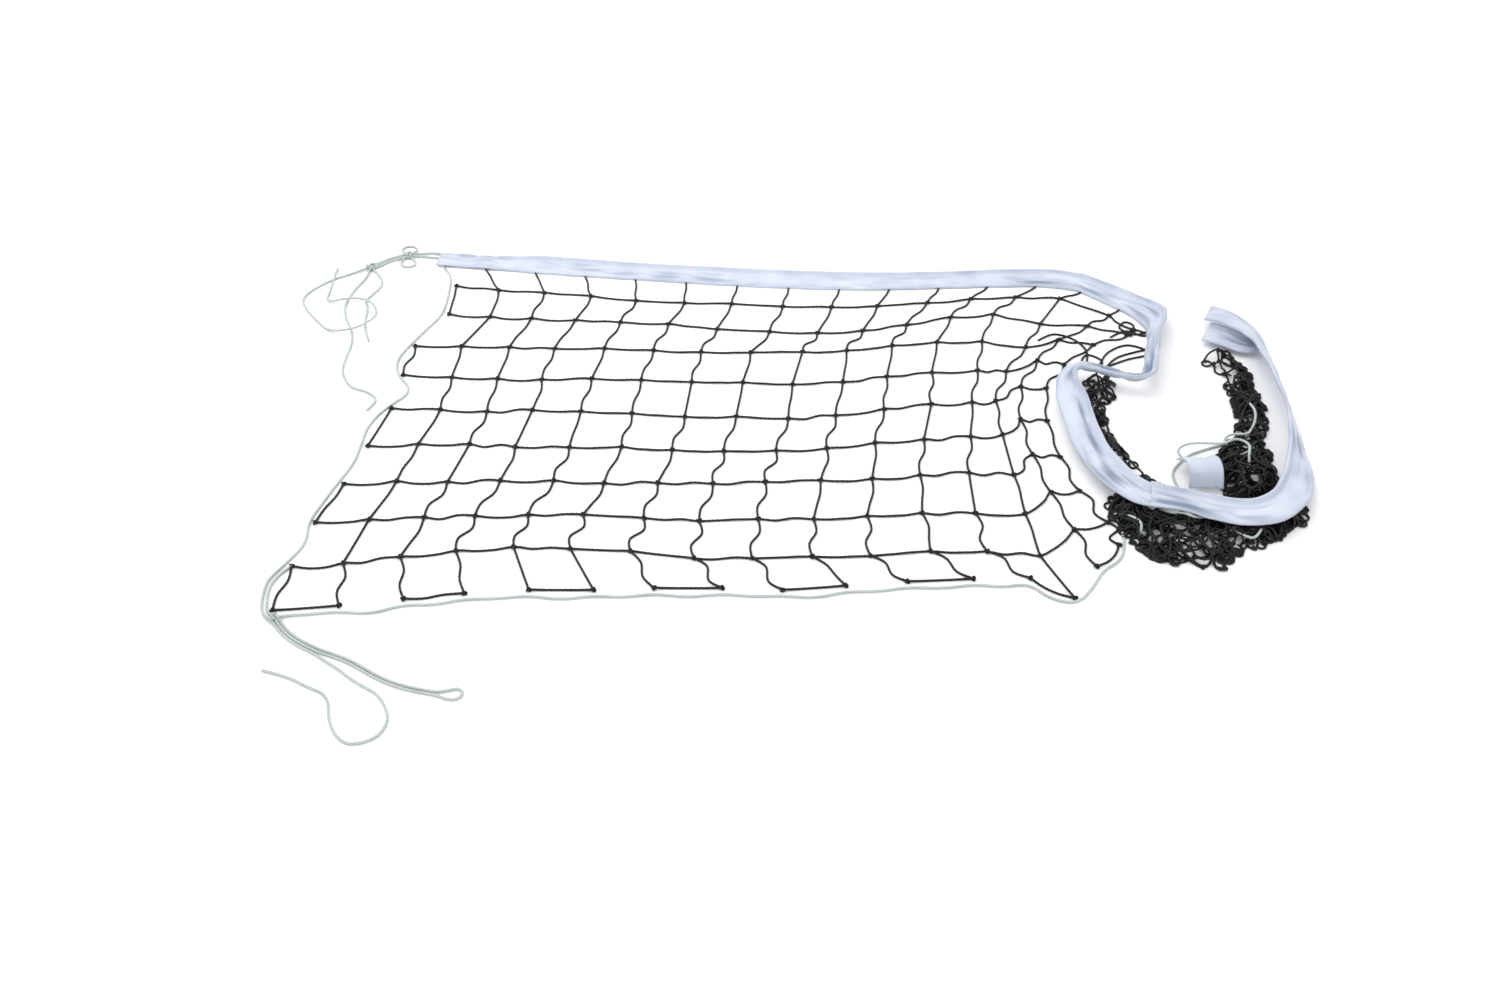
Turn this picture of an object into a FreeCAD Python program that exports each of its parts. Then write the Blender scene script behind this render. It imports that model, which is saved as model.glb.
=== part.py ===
"""A net for racket sports, laid on a floor.

Black knotted square mesh hangs from a white folded tape, the headband. The left part is spread
flat; the band then turns back on itself and runs round a ring in which the rest of the mesh is
bunched. A white cord is threaded down the left edge and along the bottom, and its ends and the
headband's cord make the ties at the two left corners.

Frame: X runs along the band from the free end, Y from the bottom edge to the band, Z up. The
floor is Z = 0 and the origin is at the centre of the net's outline on it. Millimetres.

Places in plan are counted in meshes: they are multiplied by mesh_across and mesh_down.
"""
import FreeCAD, Part
import math
import os

from FreeCAD import Placement, Rotation, Vector

doc = FreeCAD.newDocument("net")
sheet = doc.addObject("Spreadsheet::Sheet", "sizes")

# alias, value in millimetres (or a count), what it is
SIZES = [
    ("mesh_across", 100, "how far apart the laid knots are along the net"),
    ("mesh_down", 100, "how far apart the laid knots are from band to bottom edge"),
    ("mesh_bar", 100, "twine from one knot to the next"),
    ("twine_dia", 3.9, "mesh twine"),
    ("twine_lift", 0.5, "gap under the twine where a knot holds it off the floor"),
    ("knot_width", 12, "knot, in plan"),
    ("knot_height", 6, "knot, from the floor up"),
    ("knot_scatter", 4, "how far a knot lies from its even place"),
    ("band_width", 60, "headband, folded"),
    ("band_thick", 2.4, "two layers of tape"),
    ("hem_dia", 7, "channel along the folded edge"),
    ("hem_inset", 5, "channel's axis from the folded edge"),
    ("cord_dia", 4.5, "white braided cord"),
    ("cord_gap", 1, "least gap between a cord and what it passes"),
    ("seam_dia", 0.8, "sewing thread"),
    ("seam_inset", 6, "seam from the band's mesh edge"),
    ("tie_knot_width", 20, "overhand knots of the ties, in plan"),
    ("tie_knot_height", 12, "overhand knots of the ties, from the floor up"),
    ("bunch_height", 26, "bunched mesh under the band"),
    ("heap_height", 44, "bunched mesh in the ring"),
    ("bunch_gap", 1, "gap between bunched mesh and the band over it"),
]
for line, (alias, value, note) in enumerate(SIZES, start=1):
    sheet.set("A%d" % line, note)
    sheet.set("B%d" % line, str(value))
    sheet.setAlias("B%d" % line, alias)
doc.recompute()
size = {alias: float(sheet.get(alias)) for alias, value, note in SIZES}

ROWS = 10  # horizontal twines; the last one is the bottom edge
COLUMNS = 15  # vertical twines right of the left edge
FLAT_COLUMNS = 13  # the band lies flat up to this column
UP = Vector(0, 0, 1)

# ---- where the spread mesh lies: places of some knots, in meshes, and a smooth net between them
LAID_COLUMNS = [0, 4, 8, 12, 13, 14, 15]
LAID_ROWS = [0, 1, 2, 3, 5, 7, 9, 10]
LAID = [
    [(-7.9, 4.45), (-3.65, 3.95), (0.6, 3.6), (4.7, 3.7), (5.6, 3.5), (6.3, 2.95), (6.7, 2.15)],
    [(-7.4, 3.7), (-3.6, 3.25), (0.4, 3.0), (4.25, 3.35), (5.1, 3.25), (6.05, 2.75), (6.4, 2.25)],
    [(-7.35, 2.75), (-3.85, 2.5), (0.1, 2.15), (3.7, 2.75), (4.6, 2.45), (5.5, 2.35), (6.35, 2.1)],
    [(-7.85, 1.75), (-4.15, 1.65), (-0.25, 1.55), (3.35, 1.9), (4.15, 1.7), (4.85, 1.9), (5.5, 1.75)],
    [(-7.95, -0.15), (-4.4, -0.25), (-0.55, -0.4), (2.95, 0.05), (3.4, 0.05), (3.9, 0.5), (4.35, 0.4)],
    [(-8.4, -2.15), (-4.75, -2.1), (-0.95, -2.15), (2.65, -1.9), (3.4, -1.9), (3.85, -1.4), (4.3, -1.5)],
    [(-8.85, -4.15), (-5.25, -3.7), (-1.2, -3.95), (2.7, -3.75), (3.6, -3.85), (4.25, -3.3), (4.85, -3.1)],
    [(-8.9, -5.1), (-4.85, -4.65), (-0.7, -4.6), (3.35, -4.4), (4.0, -4.8), (4.45, -4.1), (4.95, -3.6)],
]


def smooth(stops, values, at):
    """A smooth curve through values at uneven stops."""
    last = len(stops) - 1
    step = max(i for i in range(last) if stops[i] <= at or i == 0)

    def slope(i):
        before, after = max(i - 1, 0), min(i + 1, last)
        return (values[after] - values[before]) / (stops[after] - stops[before])

    wide = stops[step + 1] - stops[step]
    u = (at - stops[step]) / wide
    return (
        (2 * u**3 - 3 * u**2 + 1) * values[step]
        + (u**3 - 2 * u**2 + u) * wide * slope(step)
        + (3 * u**2 - 2 * u**3) * values[step + 1]
        + (u**3 - u**2) * wide * slope(step + 1)
    )


def uneven(column, row, kind):
    """A fixed number from -1 to 1 for each place in the mesh."""
    wave = math.sin(12.9898 * column + 78.233 * row + 37.719 * kind) * 43758.5453
    return 2 * (wave - math.floor(wave)) - 1


def laid(column, row):
    """Where a place in the mesh lies on the floor."""
    place = []
    for axis, pitch in ((0, size["mesh_across"]), (1, size["mesh_down"])):
        along = [smooth(LAID_COLUMNS, [p[axis] for p in line], column) for line in LAID]
        place.append(smooth(LAID_ROWS, along, row) * pitch)
    return Vector(place[0], place[1], 0)


def knot(column, row):
    """Centre of a knot in plan, with its scatter."""
    scatter = size["knot_scatter"] if row > 0 else 0
    return laid(column, row) + Vector(
        scatter * uneven(column, row, 1), scatter * uneven(column, row, 2), 0
    )


def slack_points(start, end, shape):
    """Two points that bend a twine sideways by the length it has to spare.

    shape is the side at a third and at two thirds of the way, such as (1, -1) for an S.
    """
    apart = (end - start).Length
    spare = max(size["mesh_bar"] - apart, 0)
    sway = math.sqrt(apart * spare) / math.pi
    side = (end - start).normalize().cross(UP)
    return [
        start + (end - start) * (i / 3) + side * (sway * bend)
        for i, bend in zip((1, 2), shape)
    ]


def row_shape(column, row):
    """The bend of the row's twine right of a column: a shallow sag, deeper here and there."""
    deep = (0.35 + 0.35 * abs(uneven(column, row, 3))) * (0.5 + 0.04 * row)
    return (deep, deep * (1 if uneven(column, row, 4) > -0.3 else -0.6))


def column_shape(column, row):
    """The bend of the column's twine below a row: mostly an S, nearly straight under the band."""
    deep = (0.5 + 0.3 * abs(uneven(column, row, 5))) * (0.45 + 0.06 * row if row else 0.15)
    return (-deep, deep if uneven(column, row, 6) > -0.5 else -0.4 * deep)


# ---- tubes along a path of straight runs joined by tangent arcs
def tube_wire(points, label, tell):
    """The path, and its smallest radius if it is to be told."""
    edges, start, radii = [], points[0], []
    for before, corner, after in zip(points, points[1:], points[2:]):
        into, out = corner - before, after - corner
        shorter = min(into.Length, out.Length)
        turn = into.getAngle(out)
        if turn < 0.004:
            continue
        reach = 0.45 * shorter
        radii.append(reach / math.tan(turn / 2))
        into.normalize()
        out.normalize()
        first, third = corner - into * reach, corner + out * reach
        inward = (out - into).normalize()
        middle = corner + inward * (radii[-1] * (1 / math.cos(turn / 2) - 1))
        edges.append(Part.LineSegment(start, first).toShape())
        edges.append(Part.Arc(first, middle, third).toShape())
        start = third
    edges.append(Part.LineSegment(start, points[-1]).toShape())
    if tell and radii:
        runs = [(b - a).Length for a, b in zip(points, points[1:])]
        told = (label, sum(e.Length for e in edges), min(radii), max(runs))
        print("%s: %.0f mm long, tightest radius %.1f mm, longest run %.0f mm" % told)
    return Part.Wire(edges)


def tube(name, points, dia_alias, tell=False):
    """A round tube along points; its diameter is the sheet's."""
    path = doc.addObject("Part::Feature", name + "_path")
    path.Shape = tube_wire(points, name, tell)
    ring = doc.addObject("Part::Circle", name + "_ring")
    ring.setExpression("Radius", "sizes.%s / 2" % dia_alias)
    ring.Placement = Placement(points[0], Rotation(UP, points[1] - points[0]))
    sweep = doc.addObject("Part::Sweep", name)
    sweep.Sections = [ring]
    sweep.Spine = (path, ["Edge%d" % (i + 1) for i in range(len(path.Shape.Edges))])
    sweep.Solid = True
    sweep.Frenet = False
    return sweep


def group(name, pieces):
    """Several pieces in one object; a single piece stays itself."""
    if len(pieces) == 1:
        return pieces[0]
    both = doc.addObject("Part::Compound", name)
    both.Links = pieces
    return both


def cut(name, base, tool):
    """base without tool."""
    less = doc.addObject("Part::Cut", name)
    less.Base = base
    less.Tool = tool
    return less


nodes = {}


def node(label, piece):
    """Takes a piece as a finished sub-part with this label."""
    piece.Label = label
    nodes[label] = piece
    return piece


TWINE_AXIS = size["twine_dia"] / 2 + size["twine_lift"]
CORD_AXIS = size["cord_dia"] / 2


def at_height(points, height):
    return [Vector(p.x, p.y, height) for p in points]


# ---- headband, flat stretch: folded tape with a cord in the channel along its upper edge
def band_edge(inset):
    """Points on the flat band, this far in from the mesh edge."""
    points = []
    for column in range(FLAT_COLUMNS + 1):
        here = laid(column, 0)
        ahead = laid(column + 0.1, 0) - laid(max(column - 0.1, 0), 0)
        points.append(here + UP.cross(ahead).normalize() * inset)
    return points


def curve(points):
    line = Part.BSplineCurve()
    line.interpolate(points)
    return line.toShape()


def strip(name, near, far, thick_alias, height=0):
    """A flat strip between two lines of points, its underside at a height."""
    near, far = at_height(near, height), at_height(far, height)
    outline = doc.addObject("Part::Feature", name + "_outline")
    outline.Shape = Part.Wire(
        [
            curve(near),
            Part.LineSegment(near[-1], far[-1]).toShape(),
            curve(far[::-1]),
            Part.LineSegment(far[0], near[0]).toShape(),
        ]
    )
    solid = doc.addObject("Part::Extrusion", name)
    solid.Base = outline
    solid.DirMode = "Custom"
    solid.Dir = UP
    solid.Solid = True
    solid.setExpression("LengthFwd", "sizes." + thick_alias)
    return solid


low, high = band_edge(0), band_edge(size["band_width"])
tape = strip("band_tape", low, high, "band_thick")

hem_line = band_edge(size["band_width"] - size["hem_inset"])
hem_axis = size["hem_dia"] / 2 + 0.3
hem = tube("band_hem", at_height(hem_line, hem_axis), "hem_dia")
sleeve = doc.addObject("Part::Fuse", "band_sleeve")
sleeve.Base = tape
sleeve.Tool = hem
head_cord = node(
    "head_cord", tube("head_cord_tube", at_height(hem_line, hem_axis), "cord_dia")
)
flat = node("headband_flat", cut("band_flat", sleeve, head_cord))
seam_near, seam_far = [
    band_edge(size["seam_inset"] + side * size["seam_dia"] / 2) for side in (-1, 1)
]
node("headband_seam", strip("seam", seam_near, seam_far, "seam_dia", size["band_thick"]))

# ---- headband beyond the flat stretch: ribbons through stations
# a station is x, y in meshes, height of the middle in mm, heading and tilt in degrees;
# tilt raises the folded edge, which is the left one as the band runs
low_band = size["band_thick"] / 2
over = size["bunch_height"] + size["bunch_gap"] + low_band
tall = size["band_width"] / 2


def stations(rows):
    return [(Vector(x * size["mesh_across"], y * size["mesh_down"], z), h, t) for x, y, z, h, t in rows]


first_low, first_high = low[-1], high[-1]
joint = (first_low + first_high) * 0.5
joint.z = low_band
across = first_high - first_low
SHOULDER = [(joint, math.degrees(math.atan2(-across.x, across.y)), 0)] + stations(
    [
        (6.48, 3.1, 3.8, -42, 4),
        (6.84, 2.62, 11.5, -64, 18),
    ]
)
TURN = SHOULDER[-1:] + stations(
    [
        (6.84, 2.12, 24, -88, 46),
        (6.62, 1.45, tall, -106, 66),
        (6.44, 0.8, tall, -112, 52),
    ]
)
RETURN = TURN[-1:] + stations(
    [
        (6.28, 0.42, over + 4, -140, 34),
        (5.98, 0.36, over + 2, -196, 10),
        (5.6, 0.52, over + 2, -204, 2),
        (5.2, 0.68, over + 2, -192, 2),
    ]
)
DOWN = RETURN[-1:] + stations(
    [
        (4.9, 0.6, over + 6, -158, 30),
        (4.73, 0.28, over + 6, -108, 30),
        (4.74, -0.3, over, -88, 6),
        (4.78, -1.0, over, -87, 0),
        (4.9, -1.7, over, -68, 0),
        (5.15, -2.28, over, -54, 0),
        (5.42, -2.62, over, -34, 0),
        (5.7, -2.78, over, -14, 0),
    ]
)
FRONT = DOWN[-1:] + stations(
    [
        (6.2, -2.88, over, -12, 0),
        (6.6, -3.0, over, -18, 0),
        (7.05, -3.14, over, -8, 0),
        (7.55, -3.08, over, 22, 0),
        (8.0, -2.75, over, 48, 4),
    ]
)
FAR = FRONT[-1:] + stations(
    [
        (8.3, -2.2, over, 66, 20),
        (8.52, -1.4, over, 80, 45),
        (8.64, -0.5, over, 88, 55),
        (8.66, 0.4, over, 92, 55),
        (8.64, 1.2, over, 100, 42),
    ]
)
UPPER = FAR[-1:] + stations(
    [
        (8.54, 1.8, over, 126, 20),
        (8.24, 2.3, over - 4, 144, 8),
        (7.92, 2.52, over - 8, 150, 2),
    ]
)
UPPER_FOLD = stations(
    [
        (7.8, 2.04, 12, -32, 0),
        (8.08, 1.87, 14, -32, 0),
        (8.36, 1.7, 12, -30, 0),
    ]
)
FAR_END = stations(
    [
        (6.64, -1.7, 16, -92, 0),
        (6.66, -1.88, 36, -92, 0),
        (6.68, -2.06, 42, -92, 0),
        (6.7, -2.22, 34, -90, 0),
        (6.72, -2.36, 10, -90, 0),
    ]
)


def ribbon(name, places, climbs=False):
    """A tape of the band's section through stations; if it climbs, sections lean with its slope."""
    sections = []
    for number, (centre, heading, tilt) in enumerate(places):
        ahead = Vector(math.cos(math.radians(heading)), math.sin(math.radians(heading)), 0)
        left = UP.cross(ahead)
        if climbs:
            before, after = places[max(number - 1, 0)][0], places[min(number + 1, len(places) - 1)][0]
            rise = after.z - before.z
            ahead = (ahead * (after - before - UP * rise).Length + UP * rise).normalize()
        lean = math.radians(tilt)
        wide = left * math.cos(lean) + UP * math.sin(lean)
        turn = Rotation(wide, ahead.cross(wide), ahead, "ZXY")
        section = doc.addObject("Part::Plane", "%s_section_%d" % (name, number + 1))
        section.setExpression("Length", "sizes.band_width")
        section.setExpression("Width", "sizes.band_thick")
        middle = Vector(size["band_width"] / 2, size["band_thick"] / 2, 0)
        section.Placement = Placement(centre - turn.multVec(middle), turn)
        sections.append(section)
    loft = doc.addObject("Part::Loft", name)
    loft.Sections = sections
    loft.Solid = True
    loft.Ruled = True
    return loft


for label, places in (
    ("headband_shoulder", SHOULDER),
    ("headband_turn", TURN),
    ("headband_return", RETURN),
    ("headband_down", DOWN),
    ("headband_front", FRONT),
    ("headband_far", FAR),
    ("headband_upper", UPPER),
    ("headband_upper_fold", UPPER_FOLD),
    ("headband_end", FAR_END),
):
    node(label, ribbon(label + "_loft", places, climbs=places is FAR_END))


# ---- bunched mesh: the folds of the gathered net, each as one solid of its outer shape
def bunch(name, route, height_alias):
    """A flat-lying roll through ovals: x and y in meshes, half the width in mm."""
    centres = [
        Vector(x * size["mesh_across"], y * size["mesh_down"], size[height_alias] / 2)
        for x, y, half in route
    ]
    ovals = []
    for number, (centre, (x, y, half)) in enumerate(zip(centres, route)):
        before, after = centres[max(number - 1, 0)], centres[min(number + 1, len(centres) - 1)]
        ahead = (after - before).normalize()
        oval = doc.addObject("Part::Ellipse", "%s_oval_%d" % (name, number + 1))
        oval.MajorRadius = max(half, size[height_alias] / 2 + 0.5)  # never narrower than it is high
        oval.setExpression("MinorRadius", "sizes.%s / 2" % height_alias)
        oval.Placement = Placement(centre, Rotation(UP.cross(ahead), UP, UP.cross(ahead).cross(UP), "ZXY"))
        ovals.append(oval)
    loft = doc.addObject("Part::Loft", name)
    loft.Sections = ovals
    loft.Solid = True
    loft.Ruled = True
    return loft


INNER_BUNCH = [
    (5.42, 0.7, 20), (5.4, 0.4, 26), (5.28, 0.0, 20), (5.16, -0.5, 16), (5.16, -1.0, 18),
    (5.32, -1.55, 22), (5.6, -2.05, 20), (5.9, -2.45, 14),
]
FRONT_BUNCH = [
    (5.2, -2.75, 20), (5.42, -3.15, 38), (5.85, -3.45, 56), (6.35, -3.52, 56), (6.85, -3.35, 42),
    (7.4, -3.2, 34), (7.95, -2.85, 30),
]
HEAP = [(7.42, -2.4, 30), (7.52, -2.05, 44), (7.62, -1.6, 42), (7.75, -1.2, 26)]
FAR_BUNCH = [
    (7.95, -0.75, 22), (8.05, -0.3, 20), (8.05, 0.3, 20), (8.02, 0.8, 24), (7.9, 1.25, 26),
]
node("gathered_mesh_inner", bunch("inner_bunch", INNER_BUNCH, "bunch_height"))
node("gathered_mesh_front", bunch("front_bunch", FRONT_BUNCH, "bunch_height"))
node("gathered_mesh_heap", bunch("heap_bunch", HEAP, "heap_height"))
node("gathered_mesh_far", bunch("far_bunch", FAR_BUNCH, "bunch_height"))

# ---- mesh: row twines, knots round them, column twines between the knots
row_twines, row_knots, knot_rings = [], [], []
for row in range(1, ROWS + 1):
    knots = [knot(column, row) for column in range(COLUMNS + 1)]
    spans = [(0, COLUMNS)]
    if row == ROWS:  # the bottom edge has twine in every second mesh only
        spans = [(column, column + 1) for column in range(0, COLUMNS, 2)]
    pieces = []
    for number, (first, last) in enumerate(spans, start=1):
        points = [knots[first]]
        for column in range(first, last):
            points += slack_points(knots[column], knots[column + 1], row_shape(column, row))
            points.append(knots[column + 1])
        name = "row_%02d_%d" % (row, number)
        pieces.append(tube(name, at_height(points, TWINE_AXIS), "twine_dia"))
    row_twines.append(node("mesh_row_%02d" % row, group("row_%02d" % row, pieces)))
    discs = []
    for column, place in enumerate(knots):
        disc = doc.addObject("Part::Cylinder", "disc_%02d_%02d" % (row, column))
        disc.setExpression("Height", "sizes.knot_height")
        disc.setExpression("Radius", "sizes.knot_width / 2")
        disc.Placement = Placement(place, Rotation())
        discs.append(disc)
    row_knots.append(discs)
    all_discs = group("discs_row_%02d" % row, discs)
    knot_rings.append(cut("knots_%02d" % row, all_discs, row_twines[-1]))
for row in range(1, ROWS + 1, 2):  # two rows to a node
    label = "knots_rows_%02d_%02d" % (row, row + 1)
    node(label, group(label + "_both", knot_rings[row - 1 : row + 1]))

for column in range(0, COLUMNS + 1):
    pieces = []
    tops = range(1, ROWS) if column == 0 else range(0, ROWS)
    for row in tops:
        if column == 0 and row % 2 == 0:  # the left edge has twine in every second mesh only
            continue
        start, end = knot(column, row), knot(column, row + 1)
        bends = slack_points(start, end, column_shape(column, row))
        name = "column_%02d_%02d" % (column, row)
        points = [start] + bends + [end]
        if row == 0:  # sewn into the band
            points[0] = start + Vector(0, 0.2 * size["seam_inset"], 0)
        pieces.append(tube(name, at_height(points, TWINE_AXIS), "twine_dia"))
    held = [row_knots[row][column] for row in range(ROWS)]
    whole = group("column_%02d" % column, pieces)
    ends = group("column_%02d_ends" % column, held)
    label = "mesh_edge_left" if column == 0 else "mesh_column_%02d" % column
    node(label, cut("column_%02d_cut" % column, whole, ends))

# ---- white cords
LIFT = CORD_AXIS + 2 * size["cord_dia"]  # the axis where a cord passes over another
KNOT_AXIS = size["tie_knot_height"] / 2
BESIDE = size["cord_dia"] + size["cord_gap"]  # between two cords side by side
CLEAR = size["knot_width"] / 2 + size["cord_dia"] / 2 + size["cord_gap"]  # past a mesh knot
WIDE = CLEAR + 3 * size["cord_gap"]  # past a mesh knot beside which the cord turns


def route(corner, places):
    """Points in millimetres from a corner of the net; a place without a height is on the floor."""
    return [
        Vector(corner.x + p[0], corner.y + p[1], p[2] if len(p) > 2 else CORD_AXIS)
        for p in places
    ]


def beside(points, gap):
    """The same route this far to its left."""
    moved = []
    for i, here in enumerate(points):
        ahead = points[min(i + 1, len(points) - 1)] - points[max(i - 1, 0)]
        ahead.z = 0
        moved.append(here + UP.cross(ahead).normalize() * gap)
    return moved


def tie_disc(name, corner, place):
    """An overhand knot of a tie, as a short cylinder."""
    disc = doc.addObject("Part::Cylinder", name)
    disc.setExpression("Height", "sizes.tie_knot_height")
    disc.setExpression("Radius", "sizes.tie_knot_width / 2")
    disc.Placement = Placement(Vector(corner.x + place[0], corner.y + place[1], 0), Rotation())
    return disc


# ties at the top corner, in millimetres from where the head cord leaves its channel
top = hem_line[0]
BOW, SECOND = (-71, -20), (-143, -63)
bow_knot, second_knot = tie_disc("bow_disc", top, BOW), tie_disc("second_disc", top, SECOND)
node("tie_knots", group("tie_knots_both", [bow_knot, second_knot]))
TRUNK_UPPER = [(-2, -6, hem_axis), (-22, -7, hem_axis), (-46, -12, hem_axis), (-68, -16, KNOT_AXIS)]
TRUNK_LOWER = [(-4, -27), (-25, -24), (-46, -20, 3), (-68, -23, KNOT_AXIS)]
TRUNK_OUTER = [(-71, -20, KNOT_AXIS), (-90, -24), (-108, -33), (-123, -47), (-143, -63, KNOT_AXIS)]
BOW_UPPER = [
    (-67, -15, KNOT_AXIS), (-56, -2), (-60, 13), (-75, 19), (-90, 11), (-88, -3),
    (-76, -15, KNOT_AXIS),
]
BOW_LOWER = [
    (-75, -25, KNOT_AXIS), (-84, -38), (-81, -54), (-66, -61), (-51, -53), (-53, -38),
    (-66, -25, KNOT_AXIS),
]
TAIL_A = [
    (-143, -63, KNOT_AXIS), (-178, -83), (-215, -104), (-245, -135), (-264, -172), (-243, -212),
    (-213, -249), (-186, -277), (-155, -290, LIFT), (-125, -280, LIFT), (-102, -256, LIFT),
    (-96, -224, 4), (-110, -196, LIFT), (-140, -181, LIFT), (-172, -183, LIFT), (-196, -186, 6),
    (-212, -175), (-211, -150), (-207, -122, LIFT), (-209, -90, LIFT), (-213, -64),
]
TAIL_B = [
    (-143, -63, KNOT_AXIS), (-142, -92), (-160, -137), (-169, -182), (-166, -214), (-154, -246),
    (-135, -283), (-127, -322), (-130, -364), (-130, -402), (-115, -436), (-97, -457), (-74, -463),
    (-50, -480), (-44, -498), (-57, -520),
]
TAIL_C = [
    (-143, -63, KNOT_AXIS), (-114, -96), (-106, -126), (-119, -154), (-131, -178), (-119, -208),
    (-118, -246), (-107, -288), (-96, -312),
]


def corded(name, pieces, tools):
    """Tubes less the knots that hold them."""
    return node(name, cut(name + "_cut", group(name + "_all", pieces), group(name + "_ends", tools)))


def cord(name, points):
    return tube(name, points, "cord_dia", tell=True)


outer = route(top, TRUNK_OUTER)
strands = [cord("trunk_upper", route(top, TRUNK_UPPER)), cord("trunk_lower", route(top, TRUNK_LOWER))]
strands += [cord("outer_%d" % i, beside(outer, gap)) for i, gap in enumerate((-BESIDE, 0, BESIDE))]
corded("tie_trunk", strands, [bow_knot, second_knot])
bows = [cord("bow_upper", route(top, BOW_UPPER)), cord("bow_lower", route(top, BOW_LOWER))]
corded("tie_bow_loops", bows, [bow_knot])
for label, places in (("tie_tail_a", TAIL_A), ("tie_tail_b", TAIL_B), ("tie_tail_c", TAIL_C)):
    corded(label, [cord(label + "_tube", route(top, places))], [second_knot])

# ties at the bottom corner, in millimetres from the corner knot of the mesh
bottom = knot(0, ROWS)
CORNER = (8, -18)
corner_knot = node("corner_tie_knot", tie_disc("corner_disc", bottom, CORNER))
TIE_SHARED = [(8, -18, KNOT_AXIS), (20, -34), (38, -52), (58, -66), (76, -76), (93, -85)]
TIE_DOUBLE = [(126, -97), (152, -110), (178, -127), (205, -142), (231, -153), (260, -161), (290, -167)]
TIE_EYE = [(308, -158), (323, -154), (332, -164), (324, -175), (308, -175)]
TIE_TAIL = [
    (104, -100), (129, -116), (155, -137), (180, -153), (200, -164), (216, -185), (228, -212),
    (220, -240), (198, -253), (174, -256), (152, -238), (137, -209), (131, -180), (117, -162),
    (92, -152), (68, -138), (42, -128), (14, -120),
]
shared = route(bottom, TIE_SHARED)
double = shared + route(bottom, TIE_DOUBLE)
looped = beside(double, BESIDE) + route(bottom, TIE_EYE) + double[::-1]
corded("bottom_tie_loop", [cord("bottom_loop", looped)], [corner_knot])
tail = beside(shared, -BESIDE) + route(bottom, TIE_TAIL)
corded("bottom_tie_tail", [cord("bottom_tail", tail)], [corner_knot])

# cord down the left edge: past each knot, with a bow between knots
# how far the cord bows to the left below rows 1, 2, ...; less than -CLEAR is to the right of the knots
SIDE_BOWS = [2, 3, 15, -40, 14, -5, 3, -14]
left_edge = [knot(0, row) for row in range(1, ROWS + 1)]
side = [laid(0.1, 0) + Vector(0, 3, 0), laid(0.15, 0.2), laid(0.05, 0.6)]
for here, below, bow in zip(left_edge, left_edge[1:], SIDE_BOWS):
    side.append(here + Vector(-WIDE, 0, 0))
    side.append((here + below) * 0.5 + Vector(-CLEAR - bow, 0, 0))
ninth = left_edge[-2]
side.append(ninth + Vector(-CLEAR - BESIDE, 0, 0))
SIDE_END = [(-24, 66), (-25, 42), (-22, 14), (-14, -10), (0, -22, KNOT_AXIS)]
side = at_height(side, CORD_AXIS) + route(bottom, SIDE_END)
corded("side_cord", [cord("side_cord_tube", side)], [corner_knot, flat])
LASHING = [(-16, 60), (-17, 36), (-13, 12), (-7, -6), (4, -14, KNOT_AXIS)]
lashing = [Vector(ninth.x, ninth.y, size["knot_height"] / 2)]
lashing += [ninth + Vector(-11, -11, CORD_AXIS)] + route(bottom, LASHING)
ninth_disc = row_knots[ROWS - 2][0]
corded("corner_lashing", [cord("lashing", lashing)], [corner_knot, ninth_disc])

# cord along the bottom edge, with a sag between knots
BOTTOM_SAGS = [2, 13, 7, 3, 9, 6, 8, 4, 10, 5, 6, 7, 14, 4, 9]
bottom_edge = [knot(column, ROWS) for column in range(COLUMNS + 1)]
past = beside(bottom_edge, -WIDE)
between = [(a + b) * 0.5 for a, b in zip(past, past[1:])]
low_cord = [Vector(bottom.x + CORNER[0], bottom.y + CORNER[1], KNOT_AXIS)]
low_cord += route(bottom, [(27, -10)])
for number, sag in enumerate(BOTTOM_SAGS):
    ahead = (past[number + 1] - past[number]).normalize()
    low_cord.append(between[number] + ahead.cross(UP) * sag + Vector(0, 0, CORD_AXIS))
    low_cord.append(past[number + 1] + Vector(0, 0, CORD_AXIS))
low_cord += at_height([laid(15.3, 9.4), laid(15.3, 8.9)], CORD_AXIS)
front_bunch = nodes["gathered_mesh_front"]
corded("bottom_cord", [cord("bottom_cord_tube", low_cord)], [corner_knot, front_bunch])

# cord of the net's far edge, where it comes out of the heap beside the band's far end
FAR_CORD = [
    (6.3, -2.42), (6.22, -2.12), (6.25, -1.86), (6.4, -1.66), (6.66, -1.42), (6.98, -1.28),
    (7.3, -1.16), (7.62, -1.02), (7.9, -1.0),
]
far_points = [
    Vector(x * size["mesh_across"], y * size["mesh_down"], CORD_AXIS) for x, y in FAR_CORD
]
heap = nodes["gathered_mesh_heap"]
corded("far_cord", [cord("far_cord_tube", far_points)], [heap, nodes["gathered_mesh_far"]])

doc.recompute()
os.makedirs("parts", exist_ok=True)
bad = [o.Name for o in doc.Objects if "Invalid" in o.State or "Error" in o.State]
for label, piece in nodes.items():
    if piece.Shape.isNull() or not piece.Shape.isValid():
        bad.append(label)
if bad:
    raise RuntimeError("failed: " + ", ".join(bad))
total = FreeCAD.BoundBox()
for label, piece in nodes.items():
    piece.Shape.exportStep("parts/%s.step" % label)
    total.add(piece.Shape.BoundBox)
print(len(nodes), "nodes", total)
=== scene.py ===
import math
import random

import bpy
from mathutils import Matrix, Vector, noise


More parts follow.
